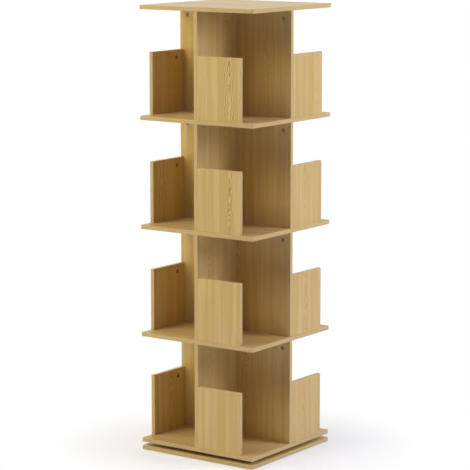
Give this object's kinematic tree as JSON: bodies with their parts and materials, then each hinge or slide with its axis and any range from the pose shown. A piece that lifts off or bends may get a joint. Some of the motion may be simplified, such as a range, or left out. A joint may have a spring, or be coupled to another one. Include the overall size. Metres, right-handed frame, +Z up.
{
  "type": "revolving bookcase",
  "caption": "Square wooden bookcase with tiers of crossed partitions and low panels, turning on a ball bearing ring over a base board.",
  "frame": {"origin": "on the floor, under the middle of the square base board", "axes": "+Z up, along the axis that the bookcase turns about; the -Y face is the one whose low panel is seen on the left of the picture, the +X face the one on its right"},
  "size_m": [0.4, 0.4, 1.321],
  "materials": {
    "board_wood": "satin",
    "partition_wood": "satin",
    "panel_wood": "satin",
    "dowel_wood": "matte",
    "zinc": "satin",
    "screw_steel": "satin",
    "ring_metal": "satin",
    "cage_plastic": "matte",
    "ball_steel": "polished",
    "felt": "matte"
  },
  "bodies": {
    "base": {"base_board": "board_wood", "floor_pads": "felt", "turntable_lower_ring": "ring_metal", "lower_ring_screws": "screw_steel"},
    "ball_cage": {"turntable_ball_cage": "cage_plastic", "turntable_balls": "ball_steel"},
    "carcass": {"assembly_screws": "screw_steel", "back_half_partition_1": "partition_wood", "back_half_partition_2": "partition_wood", "back_half_partition_3": "partition_wood", "back_half_partition_4": "partition_wood", "back_low_panel_1": "panel_wood", "back_low_panel_2": "panel_wood", "back_low_panel_3": "panel_wood", "back_low_panel_4": "panel_wood", "bottom_shelf": "board_wood", "cam_locks": "zinc", "centre_dowels": "dowel_wood", "dowels": "dowel_wood", "front_half_partition_1": "partition_wood", "front_half_partition_2": "partition_wood", "front_half_partition_3": "partition_wood", "front_half_partition_4": "partition_wood", "front_low_panel_1": "panel_wood", "front_low_panel_2": "panel_wood", "front_low_panel_3": "panel_wood", "front_low_panel_4": "panel_wood", "full_partition_1": "partition_wood", "full_partition_2": "partition_wood", "full_partition_3": "partition_wood", "full_partition_4": "partition_wood", "left_low_panel_1": "panel_wood", "left_low_panel_2": "panel_wood", "left_low_panel_3": "panel_wood", "left_low_panel_4": "panel_wood", "lower_shelf": "board_wood", "middle_shelf": "board_wood", "panel_cam_bolts": "zinc", "partition_cam_bolts": "zinc", "right_low_panel_1": "panel_wood", "right_low_panel_2": "panel_wood", "right_low_panel_3": "panel_wood", "right_low_panel_4": "panel_wood", "top_board": "board_wood", "turntable_upper_ring": "ring_metal", "upper_ring_screws": "screw_steel", "upper_shelf": "board_wood"}
  },
  "joints": [
    {"name": "turntable_spin", "type": "hinge", "parent": "base", "child": "carcass", "pos_m": [0, 0, 0.0195], "axis": [0, 0, 1], "continuous": true},
    {"name": "cage_orbit", "type": "hinge", "parent": "base", "child": "ball_cage", "pos_m": [0, 0, 0.0195], "axis": [0, 0, 1], "continuous": true}
  ],
  "couplings": [
    {"joint": "cage_orbit", "follows": "turntable_spin", "ratio": 0.5}
  ]
}
